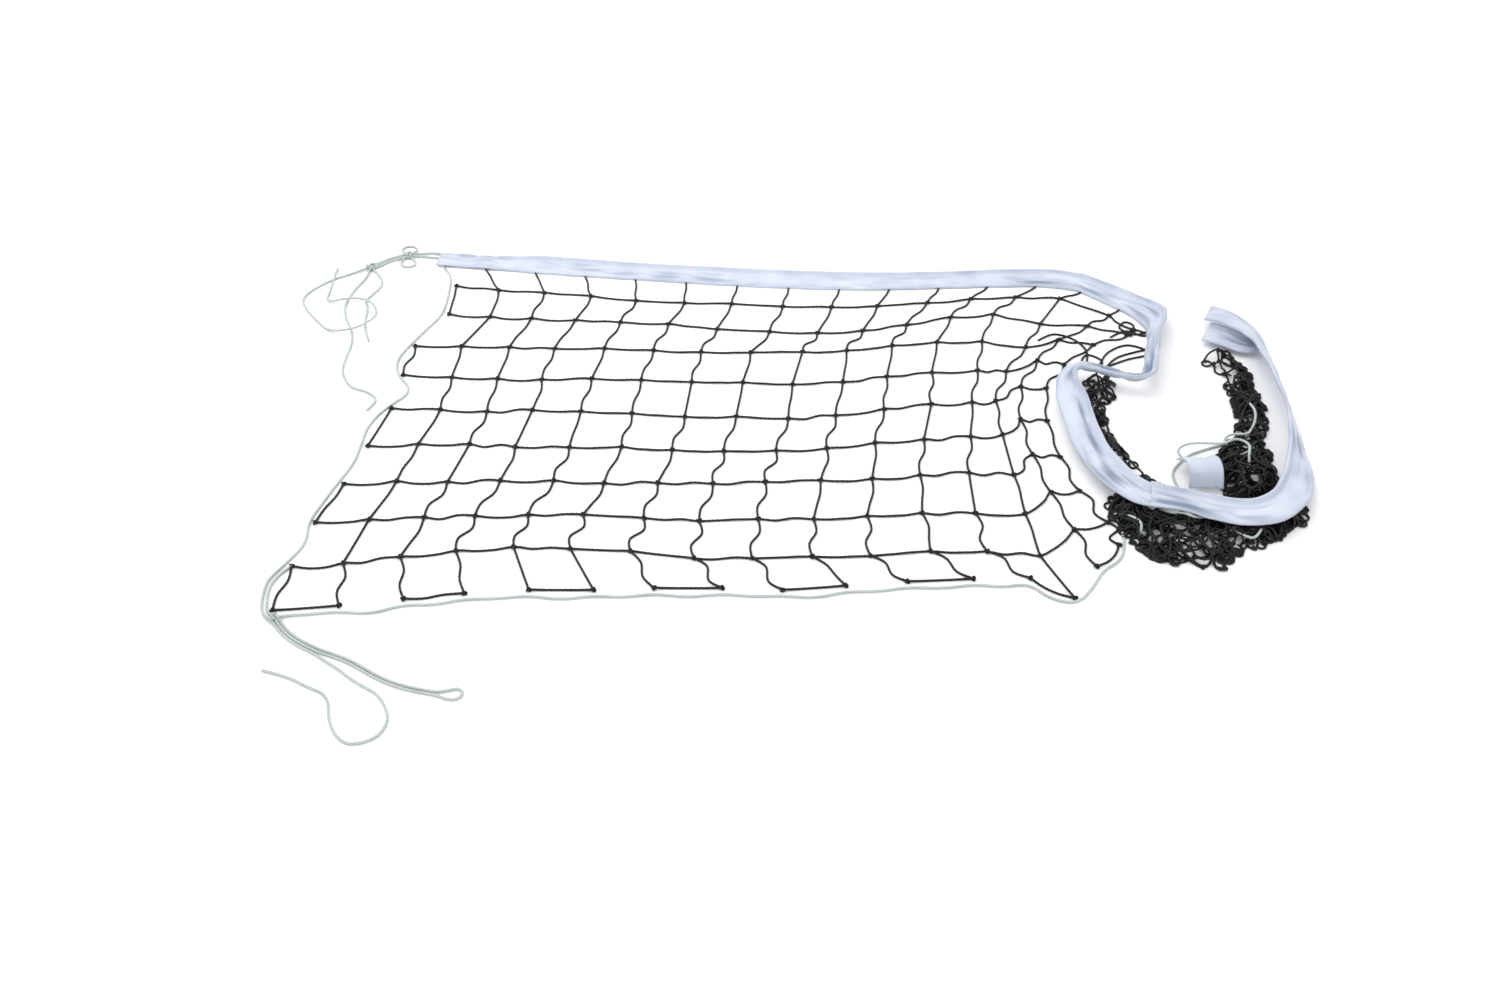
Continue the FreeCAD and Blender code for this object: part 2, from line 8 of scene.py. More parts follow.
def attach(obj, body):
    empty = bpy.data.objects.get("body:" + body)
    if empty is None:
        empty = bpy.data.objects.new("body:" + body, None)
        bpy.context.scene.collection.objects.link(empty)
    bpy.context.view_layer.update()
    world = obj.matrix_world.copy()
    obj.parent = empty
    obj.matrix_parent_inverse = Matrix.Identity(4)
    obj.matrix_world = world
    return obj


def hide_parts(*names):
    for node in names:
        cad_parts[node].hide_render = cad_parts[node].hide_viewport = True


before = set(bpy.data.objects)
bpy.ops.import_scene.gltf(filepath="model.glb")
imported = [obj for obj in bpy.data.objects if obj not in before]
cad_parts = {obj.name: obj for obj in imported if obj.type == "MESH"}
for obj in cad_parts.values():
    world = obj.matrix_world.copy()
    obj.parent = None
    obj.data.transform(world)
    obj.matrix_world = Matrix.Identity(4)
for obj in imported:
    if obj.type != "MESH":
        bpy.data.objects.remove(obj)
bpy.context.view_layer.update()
up = Vector((0, 0, 1))
mm = 0.001
print("frame:", len(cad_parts), "nodes")

# The camera looks down at the laid net from in front of its middle: 45 degrees down, no roll.
camera = {"place": (-0.125, -1.855, 1.600), "tilt": 45, "lens": 31.2, "sensorWidth": 36, "farthest": 50}


def addCamera():
    lens = bpy.data.cameras.new("camera")
    lens.lens = camera["lens"]
    lens.sensor_width = camera["sensorWidth"]
    lens.clip_end = camera["farthest"]
    eye = bpy.data.objects.new("camera", lens)
    eye.location = camera["place"]
    eye.rotation_euler = (math.radians(camera["tilt"]), 0, 0)
    bpy.context.scene.collection.objects.link(eye)
    bpy.context.scene.camera = eye


addCamera()


# colours are written as sRGB hex and the shader wants linear
def fromHex(text):
    channels = [int(text[i : i + 2], 16) / 255 for i in (1, 3, 5)]
    return [c / 12.92 if c <= 0.04045 else ((c + 0.055) / 1.055) ** 2.4 for c in channels] + [1]


# settings fill sockets by name or number, or the node's own properties; links join sockets
def addNode(tree, kind, settings=None, links=None):
    made = tree.nodes.new(kind)
    for name, value in (settings or {}).items():
        if isinstance(name, int) or name in made.inputs:
            made.inputs[name].default_value = value
        else:
            setattr(made, name, value)
    for name, source in (links or {}).items():
        tree.links.new(source, made.inputs[name])
    return made


def newMaterial(name):
    material = bpy.data.materials.new(name)
    material.use_nodes = True
    tree = material.node_tree
    return material, tree, tree.nodes["Principled BSDF"]


def setRamp(ramp, stops):
    for element, (place, colour) in zip(ramp.color_ramp.elements, stops):
        element.position = place
        element.color = fromHex(colour)


# a wave texture of scale 1 repeats after this length
wavePeriod = 0.314

# Every tube and tape has a UV map in metres: U along it, V round or across it, so a pattern's scale
# is one over its size in metres and turns with the piece.
twine = {
    "dark": "#060707",
    "worn": "#121414",
    "filament": 0.9 * mm,  # real ones are 0.25 mm, too fine to show
    "patch": 35 * mm,
    "roughness": 0.42,
}


# Twisted polyethylene twine: extruded black filaments laid up in three strands. The eye gets a deep
# black with a thin waxy glint that breaks up along the strands, and greyer stretches where it rubbed.
def twistedPolyethyleneTwine():
    material, tree, shader = newMaterial("twistedPolyethyleneTwine")
    places = addNode(tree, "ShaderNodeTexCoord")
    spread = addNode(
        tree, "ShaderNodeMapping", {"Scale": (1 / (6 * twine["filament"]), 1 / twine["filament"], 1)},
        {"Vector": places.outputs["UV"]},
    )
    filaments = addNode(
        tree, "ShaderNodeTexWave",
        {"Scale": 0.5, "Distortion": 1.5, "Detail": 2, "bands_direction": "DIAGONAL"},
        {"Vector": spread.outputs["Vector"]},
    )
    wear = addNode(
        tree, "ShaderNodeTexNoise", {"Scale": 1 / twine["patch"], "Detail": 3, "Roughness": 0.6},
        {"Vector": places.outputs["Object"]},
    )
    colour = addNode(tree, "ShaderNodeValToRGB", None, {"Fac": wear.outputs["Fac"]})
    setRamp(colour, [(0.42, twine["dark"]), (0.78, twine["worn"])])
    rough = addNode(
        tree, "ShaderNodeMapRange",
        {"To Min": twine["roughness"] - 0.08, "To Max": twine["roughness"] + 0.16},
        {"Value": wear.outputs["Fac"]},
    )
    bump = addNode(
        tree, "ShaderNodeBump", {"Strength": 0.5, "Distance": 0.25 * mm},
        {"Height": filaments.outputs["Fac"]},
    )
    shader.inputs["IOR"].default_value = 1.51
    shader.inputs["Specular IOR Level"].default_value = 0.35
    tree.links.new(colour.outputs["Color"], shader.inputs["Base Color"])
    tree.links.new(rough.outputs["Result"], shader.inputs["Roughness"])
    tree.links.new(bump.outputs["Normal"], shader.inputs["Normal"])
    return material


tape = {
    "light": "#d4d9e5",
    "lilac": "#c1c8d9",
    # painted shade: the blue-grey that the creases between folds are given
    "creaseShade": "#7888a0",
    "thread": 1.0 * mm,  # real threads are 0.45 mm apart; drawn at 1 mm to show
    "cloud": 60 * mm,
    "sheen": 0.25,
}


# Plain-woven polyester tape: fine filament threads, heat-set and unpressed. It gives a cool lilac white
# with a faint weave, a soft silky sheen at grazing angles, and blue-grey painted shade in the creases,
# mixed in by a per-corner attribute that the band's folds store.
def wovenPolyesterTape():
    material, tree, shader = newMaterial("wovenPolyesterTape")
    places = addNode(tree, "ShaderNodeTexCoord")
    # the painted crease shade that bandPiece stores on each corner, mixed over the tape's own tone
    creaseShade = addNode(tree, "ShaderNodeAttribute", {"attribute_name": "creaseShade"})
    clouds = addNode(
        tree, "ShaderNodeTexNoise", {"Scale": 1 / tape["cloud"], "Detail": 4, "Roughness": 0.55},
        {"Vector": places.outputs["Object"]},
    )
    base = addNode(tree, "ShaderNodeValToRGB", None, {"Fac": clouds.outputs["Fac"]})
    setRamp(base, [(0.35, tape["light"]), (0.7, tape["lilac"])])
    shade = addNode(
        tree, "ShaderNodeMix", {"data_type": "RGBA", "blend_type": "MIX", 7: fromHex(tape["creaseShade"])},
        {0: creaseShade.outputs["Fac"], 6: base.outputs["Color"]},
    )
    waves = []
    for direction in ("X", "Y"):
        waves.append(addNode(
            tree, "ShaderNodeTexWave",
            {"Scale": wavePeriod / tape["thread"], "Distortion": 0.4, "bands_direction": direction},
            {"Vector": places.outputs["UV"]},
        ))
    weave = addNode(
        tree, "ShaderNodeMath", {"operation": "MULTIPLY"},
        {0: waves[0].outputs["Fac"], 1: waves[1].outputs["Fac"]},
    )
    bump = addNode(
        tree, "ShaderNodeBump", {"Strength": 0.35, "Distance": 0.2 * mm}, {"Height": weave.outputs[0]}
    )
    rough = addNode(
        tree, "ShaderNodeMapRange", {"To Min": 0.55, "To Max": 0.75}, {"Value": clouds.outputs["Fac"]}
    )
    shader.inputs["Sheen Weight"].default_value = tape["sheen"]
    shader.inputs["Sheen Roughness"].default_value = 0.4
    tree.links.new(shade.outputs[2], shader.inputs["Base Color"])
    tree.links.new(rough.outputs["Result"], shader.inputs["Roughness"])
    tree.links.new(bump.outputs["Normal"], shader.inputs["Normal"])
    return material


cordLook = {
    "light": "#c4ccc6",
    # painted shade for the braid's hollows, which is also the colour of soiled patches
    "shade": "#a2ada6",
    "plait": 3.0 * mm,
    "around": 14.1 * mm,  # the cord's girth, four plaits
    "soil": 50 * mm,
}


# Braided polyester cord: eight bundles plaited round a core, washed soft. It gives a chalky, slightly
# green white with painted shade in diamonds between the crossing bundles, where the bump sets the braid
# lowest, and darker patches of soil.
def braidedPolyesterCord():
    material, tree, shader = newMaterial("braidedPolyesterCord")
    places = addNode(tree, "ShaderNodeTexCoord")
    plaits = []
    for lean in (1, -1):
        turned = addNode(
            tree, "ShaderNodeMapping",
            {"Scale": (1 / cordLook["plait"], 4 * lean / cordLook["around"], 0)},
            {"Vector": places.outputs["UV"]},
        )
        plaits.append(addNode(
            tree, "ShaderNodeTexWave", {"Scale": wavePeriod, "bands_direction": "DIAGONAL"},
            {"Vector": turned.outputs["Vector"]},
        ))
    over = addNode(
        tree, "ShaderNodeMath", {"operation": "MAXIMUM"},
        {0: plaits[0].outputs["Fac"], 1: plaits[1].outputs["Fac"]},
    )
    soil = addNode(
        tree, "ShaderNodeTexNoise", {"Scale": 1 / cordLook["soil"], "Detail": 4},
        {"Vector": places.outputs["Object"]},
    )
    # painted shade where the braid is low, deepened by random soil
    hollowShadeAndSoil = addNode(
        tree, "ShaderNodeMath", {"operation": "MULTIPLY"}, {0: over.outputs[0], 1: soil.outputs["Fac"]}
    )
    colour = addNode(tree, "ShaderNodeValToRGB", None, {"Fac": hollowShadeAndSoil.outputs[0]})
    setRamp(colour, [(0.12, cordLook["shade"]), (0.5, cordLook["light"])])
    bump = addNode(
        tree, "ShaderNodeBump", {"Strength": 0.6, "Distance": 0.3 * mm}, {"Height": over.outputs[0]}
    )
    shader.inputs["Roughness"].default_value = 0.8
    shader.inputs["Sheen Weight"].default_value = 0.2
    tree.links.new(colour.outputs["Color"], shader.inputs["Base Color"])
    tree.links.new(bump.outputs["Normal"], shader.inputs["Normal"])
    return material


thread = {"light": "#f6f6ff", "shade": "#cfd3e6", "twist": 0.8 * mm}


# Spun polyester sewing thread, lockstitched: a slightly glossier, whiter line than the tape it holds.
def spunPolyesterThread():
    material, tree, shader = newMaterial("spunPolyesterThread")
    places = addNode(tree, "ShaderNodeTexCoord")
    # the twist: diagonal bands of painted shade between the plies, with no bump under them
    twist = addNode(
        tree, "ShaderNodeTexWave",
        {"Scale": wavePeriod / thread["twist"], "bands_direction": "DIAGONAL"},
        {"Vector": places.outputs["Object"]},
    )
    colour = addNode(tree, "ShaderNodeValToRGB", None, {"Fac": twist.outputs["Fac"]})
    setRamp(colour, [(0.2, thread["shade"]), (0.8, thread["light"])])
    shader.inputs["Roughness"].default_value = 0.45
    tree.links.new(colour.outputs["Color"], shader.inputs["Base Color"])
    return material


# Matt white paper: the stage's floor, with no grain that would show beside the net.
def mattWhitePaper():
    material, tree, shader = newMaterial("mattWhitePaper")
    shader.inputs["Base Color"].default_value = fromHex("#fdfdfd")
    shader.inputs["Roughness"].default_value = 0.9
    shader.inputs["Specular IOR Level"].default_value = 0.1
    return material


twineMaterial = twistedPolyethyleneTwine()
tapeMaterial = wovenPolyesterTape()
cordMaterial = braidedPolyesterCord()
threadMaterial = spunPolyesterThread()
print("materials made")


# a smooth line through points, sampled about every step metres
def smoothThrough(points, step):
    line = [Vector(points[0])]
    padded = [points[0]] + list(points) + [points[-1]]
    for before, start, end, after in zip(padded, padded[1:], padded[2:], padded[3:]):
        pieces = max(2, math.ceil((Vector(end) - Vector(start)).length / step))
        for i in range(1, pieces + 1):
            u = i / pieces
            line.append(
                0.5 * (
                    2 * Vector(start)
                    + (Vector(end) - Vector(before)) * u
                    + (2 * Vector(before) - 5 * Vector(start) + 4 * Vector(end) - Vector(after)) * u**2
                    + (3 * Vector(start) - Vector(before) - 3 * Vector(end) + Vector(after)) * u**3
                )
            )
    return line


def lengthOf(line):
    return sum((b - a).length for a, b in zip(line, line[1:]))


# places along a line, evenly spaced by about step metres
def evenly(line, step):
    whole = lengthOf(line)
    count = max(2, round(whole / step))
    spots, walked, here = [line[0].copy()], 0.0, 0
    for i in range(1, count):
        goal = whole * i / count
        while walked + (line[here + 1] - line[here]).length < goal:
            walked += (line[here + 1] - line[here]).length
            here += 1
        gap = (line[here + 1] - line[here]).length
        spots.append(line[here].lerp(line[here + 1], (goal - walked) / gap))
    return spots + [line[-1].copy()]


endTaper = 0.6  # an open tube's end ring, as a share of its radius


# tubes along lines: shape(angle, along) is the radius there as a share of the plain radius
def tubePiece(name, lines, radius, around, shape, material, closed=False):
    corners, faces, maps = [], [], []
    for line in lines:
        first, along = len(corners), 0.0
        side = None
        count = len(line)
        travelled = []
        for i, here in enumerate(line):
            if closed:
                ahead = line[(i + 1) % count] - line[i - 1]
            else:
                ahead = line[min(i + 1, count - 1)] - line[max(i - 1, 0)]
            ahead.normalize()
            if side is None:
                side = ahead.cross(up if abs(ahead.z) < 0.9 else Vector((1, 0, 0))).normalized()
            else:
                side = (side - ahead * side.dot(ahead)).normalized()
                along += (here - line[i - 1]).length
            travelled.append(along)
            other = ahead.cross(side)
            taper = 1.0
            if not closed and (i == 0 or i == count - 1):
                taper = endTaper
            for j in range(around):
                angle = 2 * math.pi * j / around
                reach = radius * taper * shape(angle, along)
                corners.append(here + side * (reach * math.cos(angle)) + other * (reach * math.sin(angle)))
        girth = 2 * math.pi * radius
        for i in range(count if closed else count - 1):
            nextRing = (i + 1) % count
            low = travelled[i]
            high = travelled[nextRing] if nextRing else low + (line[0] - line[-1]).length
            for j in range(around):
                right = (j + 1) % around
                faces.append((
                    first + i * around + j, first + i * around + right,
                    first + nextRing * around + right, first + nextRing * around + j,
                ))
                start, end = girth * j / around, girth * (j + 1) / around
                maps += [(low, start), (low, end), (high, end), (high, start)]
        if not closed:
            for ring, turned in ((0, True), (count - 1, False)):
                cap = [first + ring * around + j for j in range(around)]
                faces.append(tuple(cap[::-1] if turned else cap))
                maps += [(travelled[ring], girth * j / around) for j in range(around)]
    return meshPiece(name, corners, faces, maps, material)


def meshPiece(name, corners, faces, maps, material):
    mesh = bpy.data.meshes.new(name)
    mesh.from_pydata(corners, [], faces)
    layer = mesh.uv_layers.new(name="UVMap")
    layer.data.foreach_set("uv", [number for pair in maps for number in pair])
    mesh.materials.append(material)
    mesh.shade_smooth()
    piece = bpy.data.objects.new(name, mesh)
    bpy.context.scene.collection.objects.link(piece)
    return piece


def settle(piece, slot, *nodes):
    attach(piece, "root")
    if nodes:
        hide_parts(*nodes)
    return piece


# the cord's and the twine's own cross-sections, with fewer corners where the twine is bunched
cord = {"radius": 2.25 * mm, "ridge": 0.07, "plaitLength": 9 * mm, "step": 2.0 * mm, "around": 12}
strand = {
    "radius": 1.95 * mm, "ridge": 0.13, "lay": 26 * mm, "step": 3.2 * mm, "around": 9, "bunchedAround": 8,
}
# a knot of the twine: a closed turn, pulled thinner than the twine itself
knot = {
    "radius": 1.45 * mm, "reach": 4.3 * mm, "rise": 1.25 * mm, "height": 2.9 * mm,
    "around": 8, "stations": 30, "bunchedAround": 7, "bunchedStations": 24,
}


def threeStrands(angle, along):
    return 1 + strand["ridge"] * math.cos(3 * (angle - 2 * math.pi * along / strand["lay"]))


def plaited(angle, along):
    turn = 2 * math.pi * along / cord["plaitLength"]
    return 1 + cord["ridge"] * math.sin(3 * angle + turn) * math.sin(3 * angle - turn)


def twinePiece(name, lines, around, *nodes):
    piece = tubePiece(name, lines, strand["radius"], around, threeStrands, twineMaterial)
    settle(piece, "mesh_twine", *nodes)


def knotPiece(name, turns, around, *nodes):
    piece = tubePiece(name, turns, knot["radius"], around, threeStrands, twineMaterial, closed=True)
    settle(piece, "mesh_twine", *nodes)


def cordPiece(name, lines, *nodes, closed=False):
    piece = tubePiece(name, lines, cord["radius"], cord["around"], plaited, cordMaterial, closed)
    return settle(piece, "white_cord", *nodes)


# where the spread mesh lies: places of some knots in meshes of 100 mm, and a smooth net between them
net = {
    "bar": 100 * mm,
    "rows": 10,
    "columns": 15,
    "flatColumns": 13,
    "scatter": 4 * mm,
    "axis": 1.85 * mm,  # height of a twine's middle on the floor, where it flattens a little
    "lift": 1.0 * mm,  # how much higher the knots hold it
    "smooth": 4 * mm,
}
laidColumns = [0, 4, 8, 12, 13, 14, 15]
laidRows = [0, 1, 2, 3, 5, 7, 9, 10]
laidPlaces = [
    [(-7.9, 4.45), (-3.65, 3.95), (0.6, 3.6), (4.7, 3.7), (5.6, 3.5), (6.3, 2.95), (6.7, 2.15)],
    [(-7.4, 3.7), (-3.6, 3.25), (0.4, 3.0), (4.25, 3.35), (5.1, 3.25), (6.05, 2.75), (6.4, 2.25)],
    [(-7.35, 2.75), (-3.85, 2.5), (0.1, 2.15), (3.7, 2.75), (4.6, 2.45), (5.5, 2.35), (6.35, 2.1)],
    [(-7.85, 1.75), (-4.15, 1.65), (-0.25, 1.55), (3.35, 1.9), (4.15, 1.7), (4.85, 1.9), (5.5, 1.75)],
    [(-7.95, -0.15), (-4.4, -0.25), (-0.55, -0.4), (2.95, 0.05), (3.4, 0.05), (3.9, 0.5), (4.35, 0.4)],
    [(-8.4, -2.15), (-4.75, -2.1), (-0.95, -2.15), (2.65, -1.9), (3.4, -1.9), (3.85, -1.4), (4.3, -1.5)],
    [(-8.85, -4.15), (-5.25, -3.7), (-1.2, -3.95), (2.7, -3.75), (3.6, -3.85), (4.25, -3.3), (4.85, -3.1)],
    [(-8.9, -5.1), (-4.85, -4.65), (-0.7, -4.6), (3.35, -4.4), (4.0, -4.8), (4.45, -4.1), (4.95, -3.6)],
]


def smooth(stops, values, at):
    last = len(stops) - 1
    step = max(i for i in range(last) if stops[i] <= at or i == 0)

    def slope(i):
        before, after = max(i - 1, 0), min(i + 1, last)
        return (values[after] - values[before]) / (stops[after] - stops[before])

    wide = stops[step + 1] - stops[step]
    u = (at - stops[step]) / wide
    return (
        (2 * u**3 - 3 * u**2 + 1) * values[step]
        + (u**3 - 2 * u**2 + u) * wide * slope(step)
        + (3 * u**2 - 2 * u**3) * values[step + 1]
        + (u**3 - u**2) * wide * slope(step + 1)
    )


# a fixed number from -1 to 1 for each place in the mesh
def uneven(column, row, kind):
    wave = math.sin(12.9898 * column + 78.233 * row + 37.719 * kind) * 43758.5453
    return 2 * (wave - math.floor(wave)) - 1


def laid(column, row):
    place = []
    for axis in (0, 1):
        along = [smooth(laidColumns, [p[axis] for p in line], column) for line in laidPlaces]
        place.append(smooth(laidRows, along, row) * net["bar"])
    return Vector((place[0], place[1], 0))


def knotPlace(column, row):
    scatter = net["scatter"] if row > 0 else 0
    return laid(column, row) + Vector((uneven(column, row, 1), uneven(column, row, 2), 0)) * scatter


# two points that bend a twine sideways by the length it has to spare
def slackPoints(start, end, bends):
    apart = (end - start).length
    sway = math.sqrt(apart * max(net["bar"] - apart, 0)) / math.pi
    side = (end - start).normalized().cross(up)
    return [start.lerp(end, (i + 1) / 3) + side * (sway * bend) for i, bend in enumerate(bends)]


def rowBends(column, row):
    deep = (0.35 + 0.35 * abs(uneven(column, row, 3))) * (0.5 + 0.04 * row)
    return (deep, deep * (1 if uneven(column, row, 4) > -0.3 else -0.6))


def columnBends(column, row):
    deep = (0.5 + 0.3 * abs(uneven(column, row, 5))) * (0.45 + 0.06 * row if row else 0.15)
    return (-deep, deep if uneven(column, row, 6) > -0.5 else -0.4 * deep)


def atHeight(points, height):
    return [Vector((p[0], p[1], height)) for p in points]


# the middle of a span sinks to the floor, its ends are held up by the knots
def layDown(line, spans):
    whole = lengthOf(line)
    along, placed = 0.0, []
    for i, here in enumerate(line):
        along += (here - line[i - 1]).length if i else 0
        lifted = abs(math.cos(math.pi * spans * along / whole)) ** 6
        placed.append(Vector((here.x, here.y, net["axis"] + net["lift"] * lifted)))
    return placed


# one netting knot, pulled tight: a closed turn of twine over itself
def knotTurns(place, angle, reach, rise, height, stations):
    spots = []
    for i in range(stations):
        t = 2 * math.pi * i / stations
        x = (math.sin(t) + 2 * math.sin(2 * t)) * reach / 3
        y = (math.cos(t) - 2 * math.cos(2 * t)) * reach / 3
        spots.append(Vector((
            place.x + x * math.cos(angle) - y * math.sin(angle),
            place.y + x * math.sin(angle) + y * math.cos(angle),
            height - rise * math.sin(3 * t),
        )))
    return spots


def meshTwine(points, spans):
    return layDown(evenly(smoothThrough(points, net["smooth"]), strand["step"]), spans)


def makeMesh():
    rows, columns = net["rows"], net["columns"]
    knots = {(c, r): knotPlace(c, r) for c in range(columns + 1) for r in range(rows + 1)}
    for row in range(1, rows + 1):
        spans = [(0, columns)]
        if row == rows:  # the bottom edge has twine in every second mesh only
            spans = [(column, column + 1) for column in range(0, columns, 2)]
        lines = []
        for first, last in spans:
            points = [knots[first, row]]
            for column in range(first, last):
                points += slackPoints(knots[column, row], knots[column + 1, row], rowBends(column, row))
                points.append(knots[column + 1, row])
            lines.append(meshTwine(points, last - first))
        twinePiece("meshRow%02d" % row, lines, strand["around"], "mesh_row_%02d" % row)
    for column in range(columns + 1):
        lines = []
        for row in range(1 if column == 0 else 0, rows):
            if column == 0 and row % 2 == 0:  # the left edge has twine in every second mesh only
                continue
            start, end = knots[column, row], knots[column, row + 1]
            points = [start] + slackPoints(start, end, columnBends(column, row)) + [end]
            lines.append(meshTwine(points, 1))
        if column == 0:
            twinePiece("meshEdgeLeft", lines, strand["around"], "mesh_edge_left")
        else:
            twinePiece("meshColumn%02d" % column, lines, strand["around"], "mesh_column_%02d" % column)
    for row in range(1, rows + 1, 2):
        turns = []
        for line in (row, row + 1):
            for column in range(columns + 1):
                angle = 1.2 * uneven(column, line, 7)
                turns.append(knotTurns(
                    knots[column, line], angle, knot["reach"], knot["rise"], knot["height"],
                    knot["stations"],
                ))
        pair = (row, row + 1)
        knotPiece("knotsRows%02d%02d" % pair, turns, knot["around"], "knots_rows_%02d_%02d" % pair)


makeMesh()
print("spread mesh made")

# the headband: a station is x, y in meshes, height of the middle in mm, heading and tilt in degrees,
# and where the tape is crumpled together, the share of its width that is left;
# tilt raises the folded edge, the left one as the band runs
band = {
    "width": 60 * mm,
    "half": 1.2 * mm,  # half its thickness, two layers of tape
    "hemRadius": 3.5 * mm,
    "hemInset": 5 * mm,
    "hemGap": 2 * mm,  # from the hem to where the two layers part
    "parts": 9,  # of each layer's outline
    "step": 4 * mm,
    "climb": 0.35,  # share of its line's rise that laid tape leans with
    "least": 0.05 * mm,  # height of the lowest tape over the floor
}
over, tall = 28.2, 30  # heights in mm of tape that passes over bunched mesh, and of tape on edge
turnStations = [
    (6.48, 3.1, 3.8, -42, 4),
    (6.84, 2.62, 11.5, -64, 18),
    (6.84, 2.12, 24, -88, 46, 0.85),
    (6.62, 1.45, tall, -106, 66, 0.7),
    (6.44, 0.8, tall, -112, 52, 0.6),
    (6.28, 0.42, over + 4, -140, 34, 0.55),
    (5.98, 0.36, over, -196, 14, 0.42),
    (5.6, 0.52, over, -204, 10, 0.38),
    (5.2, 0.68, over, -192, 10, 0.4),
    (4.9, 0.6, over + 4, -158, 30, 0.55),
    (4.73, 0.28, over + 4, -108, 30, 0.75),
    (4.74, -0.3, over, -88, 6),
    (4.78, -1.0, over, -87, 0),
    (4.9, -1.7, over, -68, 0),
    (5.15, -2.28, over, -54, 0),
    (5.42, -2.62, over, -34, 0),
    (5.7, -2.78, over, -14, 0, 0.9),
]
frontStations = [
    (5.62, -2.74, over + 3.5, -14, 0, 0.95),
    (6.2, -2.88, over + 2, -12, 0, 0.85),
    (6.6, -3.0, over, -18, 0),
    (7.05, -3.14, over, -8, 0),
    (7.55, -3.08, over, 22, 0),
    (8.0, -2.75, over, 48, 4),
    (8.3, -2.2, over, 66, 20),
    (8.52, -1.4, over, 80, 45),
    (8.64, -0.5, over, 88, 55),
    (8.66, 0.4, over, 92, 55),
    (8.64, 1.2, over, 100, 42),
    (8.54, 1.8, over, 126, 20),
    (8.24, 2.3, over - 4, 144, 8),
    (7.92, 2.52, over - 8, 150, 2),
]
foldStations = [
    (7.8, 2.04, 12, -32, 0), (8.08, 1.87, 14, -32, 0), (8.36, 1.7, 12, -30, 0),
    (8.54, 1.62, 10, -28, 0, 0.85), (8.72, 1.55, 9, -26, 0, 0.55),
]
endStations = [
    (6.64, -1.7, 16, -92, 0), (6.66, -1.88, 36, -92, 0), (6.68, -2.06, 42, -92, 0),
    (6.7, -2.22, 34, -90, 0), (6.72, -2.36, 10, -90, 0),
]


# (centre, direction from the mesh edge to the folded edge, share of the width) for each station
def sections(stations):
    found = []
    for x, y, z, heading, tilt, *gather in stations:
        angle, lean = math.radians(heading), math.radians(tilt)
        left = Vector((-math.sin(angle), math.cos(angle), 0))
        found.append((
            Vector((x * net["bar"], y * net["bar"], z * mm)),
            left * math.cos(lean) + up * math.sin(lean),
            gather[0] if gather else 1.0,
        ))
    return found


# the flat stretch: its free end is drawn together, and from the second mesh on it is nearly full
gatherColumns = [0, 1, 2.1, 4, 7, 10.5, 13]
gatherShares = [0.7, 0.72, 0.98, 0.95, 1.0, 0.92, 1.0]


# the mesh's top edge at a column, and the level direction square to it
def topEdge(column):
    ahead = laid(column + 0.1, 0) - laid(max(column - 0.1, 0), 0)
    return laid(column, 0), up.cross(ahead).normalized()


# (column, place, direction across) along the mesh's top edge, four to a mesh
def flatPlaces():
    return [(step / 4, *topEdge(step / 4)) for step in range(4 * net["flatColumns"] + 1)]


def flatSections():
    found = []
    for column, place, across in flatPlaces():
        share = smooth(gatherColumns, gatherShares, column)
        middle = place + across * (band["width"] / 2 * share) + up * band["half"]
        found.append((middle, across, share))
    return found


# axis of the channel that holds the head cord, from the middle of the tape
channelAcross = band["width"] / 2 - band["hemInset"]
channelHeight = band["hemRadius"] - band["half"] + 0.3 * mm
layerApart = 0.2  # the upper layer's UV map lies this far from the lower one's


# the tape's outline: lower layer, round hem with the cord in it, upper layer; (across, height,
# how far it is free to puff up)
def tapeOutline():
    half, wide = band["half"], band["width"] / 2
    sheet = 2 * wide - 2 * band["hemInset"] - band["hemGap"]
    shares = [i / band["parts"] for i in range(band["parts"] + 1)]
    outline = [(sheet * share - wide, -half, 0.0) for share in shares]
    radius = band["hemRadius"]
    for degrees in (-90, -55, -20, 15, 50, 85, 120, 150):
        angle = math.radians(degrees)
        outline.append((
            channelAcross + radius * math.cos(angle), channelHeight + radius * math.sin(angle), 0.3
        ))
    for share in reversed(shares):
        outline.append((sheet * share - wide, half, max(0, math.sin(math.pi * share)) ** 0.5))
    return outline


# folds run along the tape: how long and how wide they are, and how high
crumpling = {
    "long": 90 * mm,
    "fine": 11 * mm,
    "broad": 30 * mm,
    "swayLong": 120 * mm,
    "swayWide": 50 * mm,
    "crush": 13 * mm,  # height of the folds where tape is gathered to nothing
    "crushWide": 7.5 * mm,
    "crushLong": 50 * mm,
    # scale for the painted shade in the low parts of crushed tape
    "crushShade": 5 * mm,
    "dark": 2.2 * mm,  # depth of folds whose creases get the full painted shade
    "pull": 0.9 * mm,
    "pulled": 0.35,  # share of the width from the middle past which twines pull at the tape
}


# ridged noise that runs along the tape: along and across in metres
def wrinkle(along, across, seed):
    fine = noise.noise(Vector((along / crumpling["long"], across / crumpling["fine"], seed)))
    broad = noise.noise(
        Vector((along / (2.3 * crumpling["long"]), across / crumpling["broad"], seed + 9.1))
    )
    return 0.6 * (1 - abs(fine) * 2.4) + 0.7 * broad
